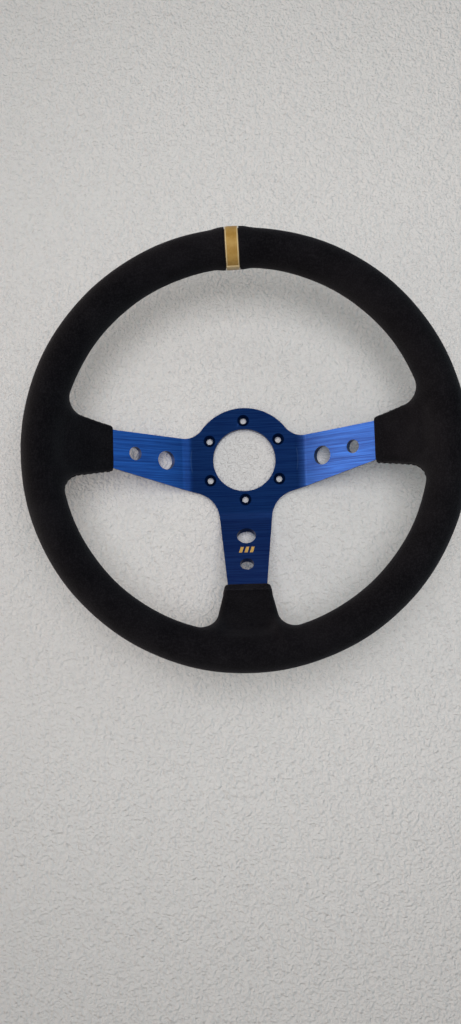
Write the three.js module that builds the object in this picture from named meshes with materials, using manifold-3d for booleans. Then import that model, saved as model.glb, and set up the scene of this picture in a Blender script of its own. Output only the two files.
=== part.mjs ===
// Dished three-spoke steering wheel with a suede-covered rim. Millimetres, +Z up.
// Frame: the steering axis is Y and the driver sits on the -Y side; +Z is twelve o'clock.
// Origin: on the steering axis, in the rear face of the hub that bolts to the steering boss.
import * as THREE from 'three';
import { mergeVertices } from 'three/addons/utils/BufferGeometryUtils.js';
import Module from 'manifold-3d';

const wasm = await Module();
wasm.setup();

// ---- driving dimensions ----------------------------------------------------------------
const GAP = 0.3;                    // clearance between neighbouring pieces

const DISH = 80;                    // hub rear face to the centre plane of the rim
const RIM_RADIUS = 159.7;           // steering axis to the centre of the grip section
const GRIP_RADIUS = 15.3;           // radius of the covered grip: the wheel is 350 across
const RIM_STEPS = 64;               // facets around the rim
const COVER_SIDES = 16;             // facets around the grip section
const INNER_SIDES = 8;              // facets around the padding, inside the cover

const PLATE = 5;                    // spoke plate thickness
const HUB_RADIUS = 46.3;
const CENTRE_HOLE_RADIUS = 27.5;
const BOLT_CIRCLE_RADIUS = 35;      // six M5 screws on a 70 mm circle
const BOLT_COUNT = 6;
const BOLT_HOLE_RADIUS = 2.75;
const COUNTERSINK_RADIUS = 5.2;

const BEND_AT = 51;                 // where the spokes leave the hub plane
const BEND_RADIUS = 20;             // to the middle of the plate
const TAB_AT = 150;                 // where the spokes turn flat again inside the rim
const TAB_BEND_RADIUS = 8;
const TAB_TIP_RADIUS = 166;
const TAB_HALF_WIDTH = 19;
const SHOULDER_AT = 140;            // the hidden plate reaches its tab width here
const UPPER_FILLET = 20;            // hub disc to the top edge of a side spoke
const LOWER_FILLET = 25;            // side spoke to lower spoke

// Spoke outlines are seen along the steering axis: "along" runs outwards from the axis and
// "across" is measured from the spoke's own radial line, upwards or to the right.
const TAPER_FROM = 60;              // the half width below holds at this distance along
const SPOKE_HALF_WIDTH = 21.8;
const SPOKE_TAPER = 0.1175;         // half width lost per millimetre outwards
const LIGHTENING_HOLES = [
  { along: 68.7, radius: 8.1 },
  { along: 92.9, radius: 5.7 },
];

const CORE_WIDTH = 14;              // flat ring inside the grip
const CORE_THICKNESS = 6;
const RIVET_RADIUS = 2.5;
const RIVET_HEAD_RADIUS = 4.5;
const RIVET_HEAD_HEIGHT = 2;
const RIVET_SPACING = 24;

const SUEDE = 1.2;                  // cover thickness on the grip
const SLEEVE_WALL = 1.6;            // cover thickness on a spoke, where its end is folded under
const SLEEVE_AT = 110.5;            // open end of a sleeve
const SLEEVE_HALF_WIDTH = 18.6;
const SLEEVE_FLARE = 0.246;         // half width gained per millimetre outwards
const SLEEVE_FILLET = 9;            // sleeve edge to the inside of the rim
const PADDING_AT = 124;             // the padding on a spoke starts here

const MARK_ANGLE = 91.44;           // centre mark: degrees from +X towards +Z
const MARK_WIDTH = 10.4;

const THREAD_RADIUS = 0.45;
const STITCH_PITCH = 6.5;
const SEAM_ANGLE = 140;             // section angle of the seam: 90 is rear, 180 faces the hub
const SEAM_SPREAD = 9;              // the lacing reaches this many degrees to each side of it
const HEM_INSET = 5;                // hem stitches, from the sleeve's open end

// The side spokes rise outwards and the lower spoke runs straight down. Their sleeves and
// tabs have their own middle lines.
const SIDE_LINE = { middle: -1.25, rise: 0.17, sleeve: 7.8, sleeveRise: 0.06, tab: 9 };
const LOWER_LINE = { middle: 0, rise: 0, sleeve: 0, sleeveRise: 0, tab: 0 };
const SPOKES = [
  { name: 'left', direction: 180, line: SIDE_LINE, upwards: -1 },
  { name: 'right', direction: 0, line: SIDE_LINE, upwards: 1 },
  { name: 'lower', direction: 270, line: LOWER_LINE, upwards: 1 },
];

// Half thickness of the sleeve, of the hollow in it and of its padding, square to the plate,
// at distances measured along the plate's middle.
const SLEEVE_PROFILE = [[SLEEVE_AT, 4.4], [118, 4.6], [124, 5.3], [134, 6.1], [142, 8.6]];
const HOLLOW_PROFILE = [[SLEEVE_AT - 2, 2.8], [118, 2.9], [124, 3.7], [134, 4.5], [142, 7]];
const PADDING_PROFILE = [[PADDING_AT, 3.4], [134, 4.2], [142, 6.7]];

// ---- derived dimensions ----------------------------------------------------------------
const TAB_MIDDLE_Y = -DISH + CORE_THICKNESS / 2 + GAP + PLATE / 2;
const SLOPE = Math.atan((-PLATE / 2 - TAB_MIDDLE_Y) / (TAB_AT - BEND_AT));
const BEND_START = BEND_AT - BEND_RADIUS * Math.tan(SLOPE / 2);
const TAB_BEND_END = TAB_AT + TAB_BEND_RADIUS * Math.tan(SLOPE / 2);
const RIVET_FRONT = -DISH - CORE_THICKNESS / 2 - GAP;
const RIVET_REAR = TAB_MIDDLE_Y + PLATE / 2 + GAP;

// ---- construction details --------------------------------------------------------------
const BEND_STEPS = 10;              // facets along each curve
const TAB_BEND_STEPS = 3;
const HUB_STEPS = 18;
const UPPER_FILLET_STEPS = 14;
const LOWER_FILLET_STEPS = 16;
const SLEEVE_FILLET_STEPS = 6;
const TIP_STEPS = 6;
const CENTRE_HOLE_SIDES = 96;       // facets around each hole, rivet and thread
const LIGHTENING_HOLE_SIDES = 48;
const BOLT_HOLE_SIDES = 32;
const RIVET_SIDES = 12;
const LACING_SIDES = 4;
const HEM_THREAD_SIDES = 6;
const RIVET_DOME = [[0, 1], [0.7, 0.75], [1, 0.2], [1, 0]];  // shares of its radius and height
const CUT_PAST = 1;                 // cutters reach this much past the face they cut
const THREAD_TENSION = 0.1;         // a zigzag with almost straight runs
const SLEEVE_DEPTH = 0.9;           // share of the grip's radius where a sleeve's faces end
const SLEEVE_REAR_ANGLE = 120;      // section angles there: 90 is rear, 180 faces the hub
const SLEEVE_FRONT_ANGLE = 220;
const FLAT_OVERLAP = 6;             // hub and spoke blanks overlap this much before the bend
const SPOKE_REACH = 60;             // half width of the blanks that the spokes are cut from
const SLEEVE_OVERRUN = 6;           // sleeve plans start this far inside, past the end face
const LAYER_TRIM = 1.2;             // sleeve length lost along the rim per millimetre of depth
const DEPTH = 120;                  // extrusions along the axis pass through everything
const MARK_STEP = 0.1;              // the band lies this much below the suede beside it

const RIVETS = SPOKES.flatMap((spoke) => [1, -1].map((side) => ({
  name: `${spoke.name}_rivet_${side > 0 ? 'a' : 'b'}`,
  place: placeRivet(spoke, side),
})));

// Lacing between the sleeves and the centre mark, in degrees round the rim.
const LACING_RUNS = [
  { name: 'upper_right_lacing', from: 22, to: 86 },
  { name: 'upper_left_lacing', from: 97, to: 158 },
  { name: 'lower_left_lacing', from: 196, to: 250 },
  { name: 'lower_right_lacing', from: 290, to: 344 },
];

// ---- materials -------------------------------------------------------------------------
function finish(color, roughness, metalness) {
  return new THREE.MeshStandardMaterial({ color, roughness, metalness });
}
const BLUE_ANODISED = finish(0x12479c, 0.38, 0.85);
const ZINC_STEEL = finish(0x9a9ca0, 0.5, 0.9);
const RIVET_ALUMINIUM = finish(0x8f9296, 0.4, 1.0);
const FOAM = finish(0x2b2b2d, 0.95, 0.0);
const BLACK_SUEDE = finish(0x151417, 0.97, 0.0);
const GOLD_LEATHER = finish(0xb08c36, 0.6, 0.0);
const BLACK_THREAD = finish(0x1b1a1c, 0.7, 0.0);

// ---- plane geometry --------------------------------------------------------------------
const AXIS = new THREE.Vector2(0, 0);

function point(x, y) {
  return new THREE.Vector2(x, y);
}

function radians(degrees) {
  return degrees * Math.PI / 180;
}

function angleOf(vector) {
  return Math.atan2(vector.y, vector.x);
}

function heading(from, to) {
  return to.clone().sub(from).normalize();
}

function leftOf(start, direction, distance) {
  return point(start.x - direction.y * distance, start.y + direction.x * distance);
}

function arc(centre, radius, from, to, steps) {
  return Array.from({ length: steps + 1 }, (_, i) => {
    const angle = from + (to - from) * i / steps;
    return point(centre.x + radius * Math.cos(angle), centre.y + radius * Math.sin(angle));
  });
}

// A fillet that touches a line on its left side, with its centre a given distance from the axis.
function filletCentre(start, direction, radius, distance) {
  const base = leftOf(start, direction, radius);
  const b = base.dot(direction);
  const t = -b + Math.sqrt(b * b - base.lengthSq() + distance * distance);
  return base.addScaledVector(direction, t);
}

// A fillet that touches two lines, each on its left side.
function cornerCentre(startA, directionA, startB, directionB, radius) {
  const baseA = leftOf(startA, directionA, radius);
  const baseB = leftOf(startB, directionB, radius);
  const t = baseB.sub(baseA).cross(directionB) / directionA.cross(directionB);
  return baseA.addScaledVector(directionA, t);
}

// The direction from a left-hand fillet's centre to the line that it touches.
function touchAngle(direction) {
  return angleOf(direction) - Math.PI / 2;
}

// ---- solids ----------------------------------------------------------------------------
function solid(geometry) {
  const bare = geometry.clone();
  bare.deleteAttribute('normal');
  bare.deleteAttribute('uv');
  const merged = mergeVertices(bare, 1e-4);
  const vertProperties = new Float32Array(merged.attributes.position.array);
  const triVerts = new Uint32Array(merged.index.array);
  return new wasm.Manifold(new wasm.Mesh({ numProp: 3, vertProperties, triVerts }));
}

function toGeometry(manifold) {
  const mesh = manifold.getMesh();
  const geometry = new THREE.BufferGeometry();
  geometry.setAttribute('position', new THREE.BufferAttribute(mesh.vertProperties, 3));
  geometry.setIndex(new THREE.BufferAttribute(mesh.triVerts, 1));
  geometry.computeVertexNormals();
  return geometry;
}

function joined(solids) {
  return solids.reduce((sum, next) => sum.add(next));
}

// An outline in (x, z), extruded along the steering axis from yRear towards the driver.
function planPrism(outline, yRear, depth) {
  const options = { depth, bevelEnabled: false };
  const geometry = new THREE.ExtrudeGeometry(new THREE.Shape(outline), options);
  return geometry.rotateX(Math.PI / 2).translate(0, yRear, 0);
}

// An outline in (along, y), extruded to both sides of a spoke's radial line.
function profilePrism(outline) {
  const options = { depth: 2 * SPOKE_REACH, bevelEnabled: false };
  const geometry = new THREE.ExtrudeGeometry(new THREE.Shape(outline), options);
  return geometry.translate(0, 0, -SPOKE_REACH);
}

// A full ring around the steering axis; its section is a closed list of (radius, y) points.
function ring(section) {
  return new THREE.LatheGeometry([...section, section[0].clone()], RIM_STEPS);
}

function gripSection(radius, sides) {
  return arc(point(RIM_RADIUS, -DISH), radius, 0, 2 * Math.PI, sides).slice(0, -1);
}

// Turns a shape made along +X onto a spoke.
function ontoSpoke(geometry, spoke) {
  return geometry.rotateY(radians(-spoke.direction));
}

// An (along, across) point of a spoke, in the plan's (x, z).
function inPlan(spoke, p) {
  const direction = radians(spoke.direction);
  const x = Math.cos(direction) * p.x - Math.sin(direction) * p.y * spoke.upwards;
  const z = Math.sin(direction) * p.x + Math.cos(direction) * p.y * spoke.upwards;
  return point(x, z);
}

// ---- spoke plate -----------------------------------------------------------------------
function spokeMiddle(line, along) {
  return line.middle + line.rise * (along - TAPER_FROM);
}

// A point on a spoke's edge: side is 1 for its upper or right edge, -1 for the other one.
function spokeEdge(line, side, along, clearance = 0) {
  const halfWidth = SPOKE_HALF_WIDTH - SPOKE_TAPER * (along - TAPER_FROM) + clearance;
  return point(along, spokeMiddle(line, along) + side * halfWidth);
}

// The end of a spoke that the sleeve and rim hide, from one edge round its tip to the other.
function hiddenEnd(line, fromSide, toSide, clearance = 0) {
  const tip = TAB_TIP_RADIUS + clearance;
  const across = (side) => line.tab + side * (TAB_HALF_WIDTH + clearance);
  const corner = (side) => Math.asin(across(side) / tip);
  return [
    spokeEdge(line, fromSide, SLEEVE_AT + HEM_INSET, clearance),
    point(SHOULDER_AT, across(fromSide)),
    ...arc(AXIS, tip, corner(fromSide), corner(toSide), TIP_STEPS),
    point(SHOULDER_AT, across(toSide)),
    spokeEdge(line, toSide, SLEEVE_AT + HEM_INSET, clearance),
  ];
}

// The plate's outline from twelve o'clock round its right side to the lower spoke's tip.
function rightOutline() {
  const [, right, lower] = SPOKES;
  const top = spokeEdge(SIDE_LINE, 1, TAPER_FROM);
  const outwards = heading(top, spokeEdge(SIDE_LINE, 1, SLEEVE_AT));
  const upperFillet = filletCentre(top, outwards, UPPER_FILLET, HUB_RADIUS + UPPER_FILLET);

  const under = spokeEdge(SIDE_LINE, -1, TAPER_FROM);
  const inwards = heading(spokeEdge(SIDE_LINE, -1, SLEEVE_AT), under);
  const down = inPlan(lower, spokeEdge(LOWER_LINE, 1, TAPER_FROM));
  const downwards = heading(down, inPlan(lower, spokeEdge(LOWER_LINE, 1, SLEEVE_AT)));
  const lowerFillet = cornerCentre(under, inwards, down, downwards, LOWER_FILLET);

  const hubTouch = angleOf(upperFillet);
  const edgeTouch = touchAngle(outwards) + 2 * Math.PI;
  const underTouch = touchAngle(inwards);
  const downTouch = touchAngle(downwards);
  const lowerTip = hiddenEnd(LOWER_LINE, 1, -1);
  return [
    ...arc(AXIS, HUB_RADIUS, Math.PI / 2, hubTouch, HUB_STEPS),
    ...arc(upperFillet, UPPER_FILLET, hubTouch + Math.PI, edgeTouch, UPPER_FILLET_STEPS).slice(1),
    ...hiddenEnd(SIDE_LINE, 1, -1).map((p) => inPlan(right, p)),
    ...arc(lowerFillet, LOWER_FILLET, underTouch, downTouch, LOWER_FILLET_STEPS),
    ...lowerTip.slice(0, (lowerTip.length + 1) / 2).map((p) => inPlan(lower, p)),
  ];
}

function plateOutline() {
  const right = rightOutline();
  const left = right.slice(1, -1).reverse().map((p) => point(-p.x, p.y));
  return [...right, ...left];
}

// The middle of the bent plate, from the hub to its tip, with its slope at each station.
function plateMiddle() {
  const bend = Array.from({ length: BEND_STEPS + 1 }, (_, i) => {
    const slope = SLOPE * i / BEND_STEPS;
    const along = BEND_START + BEND_RADIUS * Math.sin(slope);
    return { along, y: -PLATE / 2 - BEND_RADIUS * (1 - Math.cos(slope)), slope };
  });
  const tabBend = Array.from({ length: TAB_BEND_STEPS + 1 }, (_, i) => {
    const slope = SLOPE * (1 - i / TAB_BEND_STEPS);
    const along = TAB_BEND_END - TAB_BEND_RADIUS * Math.sin(slope);
    return { along, y: TAB_MIDDLE_Y + TAB_BEND_RADIUS * (1 - Math.cos(slope)), slope };
  });
  const start = { along: BEND_START - FLAT_OVERLAP, y: -PLATE / 2, slope: 0 };
  const end = { along: 2 * TAB_TIP_RADIUS - TAB_BEND_END, y: TAB_MIDDLE_Y, slope: 0 };
  return [start, ...bend, ...tabBend, end];
}

// A point beside the plate's middle: a positive distance is towards the rear.
function offMiddle(station, distance) {
  const along = station.along + distance * Math.sin(station.slope);
  return point(along, station.y + distance * Math.cos(station.slope));
}

// One spoke's blank: the bent plate, wider than the spoke and not yet cut to its outline.
function bentSlab(spoke, thickness) {
  const stations = plateMiddle();
  const rear = stations.map((station) => offMiddle(station, thickness / 2));
  const front = stations.map((station) => offMiddle(station, -thickness / 2));
  return solid(ontoSpoke(profilePrism([...rear, ...front.reverse()]), spoke));
}

// A station on the sloping part of the plate.
function slopeStation(along) {
  return { along, y: -PLATE / 2 - (along - BEND_AT) * Math.tan(SLOPE), slope: SLOPE };
}

function lighteningCutter(hole, spoke) {
  const station = slopeStation(hole.along);
  const across = spokeMiddle(spoke.line, hole.along) * spoke.upwards;
  const sides = LIGHTENING_HOLE_SIDES;
  const geometry = new THREE.CylinderGeometry(hole.radius, hole.radius, 4 * PLATE, sides);
  geometry.rotateZ(-station.slope).translate(station.along, station.y, across);
  return solid(ontoSpoke(geometry, spoke));
}

// A bolt hole with its 90 degree countersink on the driver's side.
function boltCutter(index) {
  const sinkDepth = COUNTERSINK_RADIUS - BOLT_HOLE_RADIUS;
  const section = [
    point(0, -PLATE - CUT_PAST),
    point(COUNTERSINK_RADIUS + CUT_PAST, -PLATE - CUT_PAST),
    point(BOLT_HOLE_RADIUS, -PLATE + sinkDepth),
    point(BOLT_HOLE_RADIUS, CUT_PAST),
    point(0, CUT_PAST),
  ];
  const angle = radians(90 + index * 360 / BOLT_COUNT);
  const x = BOLT_CIRCLE_RADIUS * Math.cos(angle);
  const z = BOLT_CIRCLE_RADIUS * Math.sin(angle);
  return solid(new THREE.LatheGeometry(section, BOLT_HOLE_SIDES).translate(x, 0, z));
}

function hubBlank() {
  const half = BEND_START - FLAT_OVERLAP / 2;
  const top = HUB_RADIUS + FLAT_OVERLAP;
  const box = new THREE.BoxGeometry(2 * half, PLATE, half + top);
  return solid(box.translate(0, -PLATE / 2, (top - half) / 2));
}

function spokePlate() {
  const plan = solid(planPrism(plateOutline(), 2 * PLATE, DEPTH));
  const slabs = SPOKES.map((spoke) => bentSlab(spoke, PLATE));
  const radius = CENTRE_HOLE_RADIUS;
  const centre = new THREE.CylinderGeometry(radius, radius, 4 * PLATE, CENTRE_HOLE_SIDES);
  const bolts = Array.from({ length: BOLT_COUNT }, (_, i) => boltCutter(i));
  const lightening = SPOKES.flatMap((spoke) =>
    LIGHTENING_HOLES.map((hole) => lighteningCutter(hole, spoke)));
  const rivetHoles = RIVETS.map((rivet) => rivetCutter(rivet, RIVET_RADIUS + GAP));
  const cutters = [solid(centre), ...bolts, ...lightening, ...rivetHoles];
  return joined([hubBlank(), ...slabs]).intersect(plan).subtract(joined(cutters));
}

// ---- rim core and its rivets -----------------------------------------------------------
function coreRing(clearance) {
  const halfWidth = CORE_WIDTH / 2 + clearance;
  const halfThickness = CORE_THICKNESS / 2 + clearance;
  return solid(ring([
    point(RIM_RADIUS - halfWidth, -DISH - halfThickness),
    point(RIM_RADIUS + halfWidth, -DISH - halfThickness),
    point(RIM_RADIUS + halfWidth, -DISH + halfThickness),
    point(RIM_RADIUS - halfWidth, -DISH + halfThickness),
  ]));
}

function rimCore() {
  const rivetHoles = RIVETS.map((rivet) => rivetCutter(rivet, RIVET_RADIUS + GAP));
  return coreRing(0).subtract(joined(rivetHoles));
}

function placeRivet(spoke, side) {
  const across = spoke.line.tab + side * RIVET_SPACING / 2;
  const along = Math.sqrt(RIM_RADIUS * RIM_RADIUS - across * across);
  return inPlan(spoke, point(along, across));
}

function rivetCutter(rivet, radius) {
  const length = RIVET_REAR - RIVET_FRONT + 2 * RIVET_HEAD_HEIGHT + 2 * GAP;
  const middle = (RIVET_REAR + RIVET_FRONT) / 2;
  const geometry = new THREE.CylinderGeometry(radius, radius, length, RIVET_SIDES);
  return solid(geometry.translate(rivet.place.x, middle, rivet.place.y));
}

function rivetGeometry(rivet) {
  const head = RIVET_DOME.map(([out, up]) =>
    point(out * RIVET_HEAD_RADIUS, up * RIVET_HEAD_HEIGHT));
  const dome = [...head, point(RIVET_RADIUS, 0)];
  const front = dome.map((p) => point(p.x, RIVET_FRONT - p.y));
  const rear = dome.map((p) => point(p.x, RIVET_REAR + p.y)).reverse();
  const geometry = new THREE.LatheGeometry([...front, ...rear], RIVET_SIDES);
  return geometry.translate(rivet.place.x, 0, rivet.place.y);
}

// ---- sleeves: the rim's covering carried down over the spokes --------------------------
// A point on a sleeve's edge, seen along the steering axis.
function sleeveEdge(line, side, along, inset) {
  const middle = line.sleeve + line.sleeveRise * (along - SLEEVE_AT);
  const halfWidth = SLEEVE_HALF_WIDTH + SLEEVE_FLARE * (along - SLEEVE_AT) - inset;
  return point(along, middle + side * halfWidth);
}

// One edge of a sleeve from its open end outwards, rounded into the inside of the rim. A layer
// that lies deeper ends a little sooner along the rim, so that it stays inside the one above.
function sleeveSide(line, side, from, inset) {
  const upright = (p) => point(p.x, side * p.y);
  const start = upright(sleeveEdge(line, side, from, inset));
  const outwards = heading(start, upright(sleeveEdge(line, side, RIM_RADIUS, inset)));
  const radius = SLEEVE_FILLET + inset;
  const rimInside = RIM_RADIUS - GRIP_RADIUS;
  const fillet = filletCentre(start, outwards, radius, rimInside - SLEEVE_FILLET);
  const trim = LAYER_TRIM * inset;
  const filletEnd = angleOf(fillet) - trim / radius;
  const rounded = arc(fillet, radius, touchAngle(outwards), filletEnd, SLEEVE_FILLET_STEPS);
  const root = fillet.clone().setLength(RIM_RADIUS).rotateAround(AXIS, -trim / rimInside);
  return [start, ...rounded, root].map(upright);
}

function sleevePlan(spoke, from, inset) {
  const upper = sleeveSide(spoke.line, 1, from, inset);
  const lower = sleeveSide(spoke.line, -1, from, inset);
  const outline = [...upper, point(RIM_RADIUS, 0), ...lower.reverse()];
  return solid(planPrism(outline.map((p) => inPlan(spoke, p)), 0, DEPTH));
}

// The sleeve's thickness, from a list of [along, half thickness], ending inside the grip.
function sleeveProfile(spoke, stations, gripRadius) {
  const inside = point(SLEEVE_DEPTH * gripRadius, 0);
  const gripCentre = point(RIM_RADIUS, -DISH);
  const intoGrip = (angle) => inside.clone().rotateAround(AXIS, radians(angle)).add(gripCentre);
  const side = (sign) => stations.map(([along, half]) => offMiddle(slopeStation(along), sign * half));
  const rear = [...side(1), intoGrip(SLEEVE_REAR_ANGLE)];
  const front = [...side(-1), intoGrip(SLEEVE_FRONT_ANGLE)];
  const outline = [...rear, gripCentre, ...front.reverse()];
  return solid(ontoSpoke(profilePrism(outline), spoke));
}

function sleeve(spoke, stations, inset, gripRadius) {
  const plan = sleevePlan(spoke, stations[0][0] - SLEEVE_OVERRUN, inset);
  return plan.intersect(sleeveProfile(spoke, stations, gripRadius));
}

// Grip and sleeves in one solid, at a given depth below the cover's surface.
function covering(stations, inset, gripRadius, sides) {
  const grip = solid(ring(gripSection(gripRadius, sides)));
  return joined([grip, ...SPOKES.map((spoke) => sleeve(spoke, stations, inset, gripRadius))]);
}

// A block that spans the grip at the centre mark.
function markBlock(width) {
  const block = new THREE.BoxGeometry(4 * GRIP_RADIUS, 4 * GRIP_RADIUS, width);
  block.translate(RIM_RADIUS, -DISH, 0).rotateY(radians(-MARK_ANGLE));
  return solid(block);
}

function suedeCover() {
  const outside = covering(SLEEVE_PROFILE, 0, GRIP_RADIUS, COVER_SIDES);
  const hollow = covering(HOLLOW_PROFILE, SLEEVE_WALL, GRIP_RADIUS - SUEDE, INNER_SIDES);
  const cutters = [hollow, markBlock(MARK_WIDTH + 2 * GAP), ...SPOKES.map(plateCavity)];
  return outside.subtract(joined(cutters));
}

function centreMark() {
  const outside = solid(ring(gripSection(GRIP_RADIUS - MARK_STEP, COVER_SIDES)));
  const inside = solid(ring(gripSection(GRIP_RADIUS - SUEDE, INNER_SIDES)));
  return outside.subtract(inside).intersect(markBlock(MARK_WIDTH));
}

function padding() {
  const gripRadius = GRIP_RADIUS - SUEDE - GAP;
  const foam = covering(PADDING_PROFILE, SLEEVE_WALL + GAP, gripRadius, INNER_SIDES);
  const rivets = RIVETS.map((rivet) => rivetCutter(rivet, RIVET_HEAD_RADIUS + 2 * GAP));
  return foam.subtract(joined([coreRing(GAP), ...rivets, ...SPOKES.map(plateCavity)]));
}

// The space that a spoke's hidden end takes in the padding.
function plateCavity(spoke) {
  const hidden = hiddenEnd(spoke.line, 1, -1, GAP);
  const upper = spokeEdge(spoke.line, 1, BEND_AT, GAP);
  const lower = spokeEdge(spoke.line, -1, BEND_AT, GAP);
  const outline = [upper, ...hidden, lower].map((p) => inPlan(spoke, p));
  return bentSlab(spoke, PLATE + 2 * GAP).intersect(solid(planPrism(outline, 0, DEPTH)));
}

// ---- threads ---------------------------------------------------------------------------
function threadSection() {
  return new THREE.Shape(arc(AXIS, THREAD_RADIUS, 0, 2 * Math.PI, LACING_SIDES).slice(0, -1));
}

// A point just clear of the grip's surface, at angles in degrees round the rim and the section.
function onGrip(rimAngle, sectionAngle) {
  const height = GRIP_RADIUS + GAP + THREAD_RADIUS;
  const radius = RIM_RADIUS + height * Math.cos(radians(sectionAngle));
  const y = -DISH + height * Math.sin(radians(sectionAngle));
  const around = radians(rimAngle);
  return new THREE.Vector3(radius * Math.cos(around), y, radius * Math.sin(around));
}

// The lacing along the inner rear of the grip, zigzagging between two rim angles in degrees.
function lacing(from, to) {
  const length = radians(Math.abs(to - from)) * RIM_RADIUS;
  const stitches = Math.round(length / STITCH_PITCH);
  const points = Array.from({ length: stitches + 1 }, (_, i) => {
    const spread = i % 2 ? SEAM_SPREAD : -SEAM_SPREAD;
    return onGrip(from + (to - from) * i / stitches, SEAM_ANGLE + spread);
  });
  const path = new THREE.CatmullRomCurve3(points, false, 'catmullrom', THREAD_TENSION);
  const options = { steps: 2 * stitches, bevelEnabled: false, extrudePath: path };
  return new THREE.ExtrudeGeometry(threadSection(), options);
}

// The row of stitches that holds a sleeve's folded end, across its front.
function hemThread(spoke) {
  const along = SLEEVE_AT + HEM_INSET;
  const [[first, thin], [second, thick]] = SLEEVE_PROFILE;
  const half = thin + (thick - thin) * (along - first) / (second - first);
  const place = offMiddle(slopeStation(along), -(half + GAP + THREAD_RADIUS));
  const upper = sleeveEdge(spoke.line, 1, along, SLEEVE_WALL);
  const lower = sleeveEdge(spoke.line, -1, along, SLEEVE_WALL);
  const middle = (upper.y + lower.y) / 2 * spoke.upwards;
  const length = upper.y - lower.y;
  const rod = new THREE.CylinderGeometry(THREAD_RADIUS, THREAD_RADIUS, length, HEM_THREAD_SIDES);
  rod.rotateX(Math.PI / 2).translate(place.x, place.y, middle);
  return ontoSpoke(rod, spoke);
}

// ---- assembly --------------------------------------------------------------------------
const wheel = new THREE.Group();

function part(name, geometry, material) {
  const mesh = new THREE.Mesh(geometry, material);
  mesh.name = name;
  wheel.add(mesh);
}

part('spoke_plate', toGeometry(spokePlate()), BLUE_ANODISED);
part('rim_core', toGeometry(rimCore()), ZINC_STEEL);
for (const rivet of RIVETS) {
  part(rivet.name, rivetGeometry(rivet), RIVET_ALUMINIUM);
}
part('rim_padding', toGeometry(padding()), FOAM);
part('suede_cover', toGeometry(suedeCover()), BLACK_SUEDE);
part('centre_mark_band', toGeometry(centreMark()), GOLD_LEATHER);
for (const run of LACING_RUNS) {
  part(run.name, lacing(run.from, run.to), BLACK_THREAD);
}
for (const spoke of SPOKES) {
  part(`${spoke.name}_sleeve_hem_thread`, hemThread(spoke), BLACK_THREAD);
}

export default wheel;
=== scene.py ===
# Dished three-spoke steering wheel: suede grip, blue anodised spokes and a gold centre mark.
# Shapes are worked out in millimetres in the frame's own axes, and MM turns them into metres.
# The steering axis is Y, the driver sits on the -Y side and +Z is twelve o'clock.
import math
import bmesh
import bpy
import numpy as np
from mathutils import Matrix, Vector


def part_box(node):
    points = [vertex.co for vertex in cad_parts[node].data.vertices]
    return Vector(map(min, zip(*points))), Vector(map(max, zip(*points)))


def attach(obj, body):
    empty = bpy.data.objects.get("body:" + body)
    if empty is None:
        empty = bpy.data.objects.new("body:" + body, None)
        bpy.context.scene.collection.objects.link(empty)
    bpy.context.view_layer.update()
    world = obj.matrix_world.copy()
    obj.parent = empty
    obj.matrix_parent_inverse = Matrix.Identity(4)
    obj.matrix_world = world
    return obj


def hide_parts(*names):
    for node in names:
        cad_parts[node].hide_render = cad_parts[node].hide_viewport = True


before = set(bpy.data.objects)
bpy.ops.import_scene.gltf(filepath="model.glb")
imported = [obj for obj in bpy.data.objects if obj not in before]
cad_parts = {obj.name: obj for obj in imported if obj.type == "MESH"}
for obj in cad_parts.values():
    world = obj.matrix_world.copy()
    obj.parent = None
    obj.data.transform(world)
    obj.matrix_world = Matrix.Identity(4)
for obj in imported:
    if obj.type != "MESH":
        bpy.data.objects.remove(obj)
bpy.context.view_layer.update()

MM = 0.001

# ---- driving dimensions, as the frame has them ------------------------------------------
DISH = 80.0                  # hub rear face to the centre plane of the rim
RIM_RADIUS = 159.7
GRIP_RADIUS = 15.3
PLATE = 5.0
BEND_AT = 51.0
DROP = 71.7                  # how far the plate's middle comes forward over SPOKE_RUN
SPOKE_RUN = 99.0
SLOPE = math.atan(DROP / SPOKE_RUN)
SUEDE = 1.2

SLEEVE_AT = 110.5            # open end of a sleeve, measured along the plate's middle
SLEEVE_HALF_WIDTH = 18.6
SLEEVE_FLARE = 0.246
SLEEVE_STATIONS = [104, 110.5, 118, 124, 134, 142, 150, 163]
SLEEVE_HALVES = [4.2, 4.3, 4.6, 5.3, 6.3, 8.2, 7.4, 1.5]
SLEEVE_ROUNDING = 0.72       # share of the half thickness
SIDE_FILLET = 16.0           # sleeve edge to the inside of the rim
FACE_FILLET = 6.0            # sleeve faces to the rim
HEM = 5.0                    # width of a sleeve's folded end

MARK_ANGLE = math.radians(91.44)
MARK_WIDTH = 10.4
MARK_GAP = 0.55
MARK_RADIUS = GRIP_RADIUS + 1.3
MARK_COLUMNS = 30            # of the mark's mesh, around its section
MARK_EDGES = (2, 3, 11, 12)  # the columns along its pale edges
RIDGE = 1.15                 # the suede stands this much prouder beside the mark
RIDGE_REACH = 8.0
RIDGE_FROM = 2.5             # from the mark's edge

SEAM_ANGLE = {"upper": math.radians(128), "lower": math.radians(138)}  # 90 is rear, 180 inward
SEAM_LIFT = {"left": math.radians(48), "right": math.radians(48), "lower": math.radians(66)}
STITCH_PITCH = 5.2
STITCH_REACH = 2.35          # half the width of the lacing
THREAD = 0.42
HEM_THREAD = 0.30
THREAD_SIDES = 7
HEM_STITCH_PITCH = 4.0

CORE_HALF_WIDTH = 7.0        # flat steel ring inside the grip
CORE_HALF = 3.0
TAB_Y = -74.2                # the spokes' hidden ends lie flat here, behind the core
TAB_HALF = 19.0
TAB_END = 166.0
TAB_WIDENS = [[115, 128], [16.6, TAB_HALF]]   # distances along a spoke, half widths there
LAYER_GAP = 0.35
FOAM_FROM = 138.0            # the foam in a sleeve starts here

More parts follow.
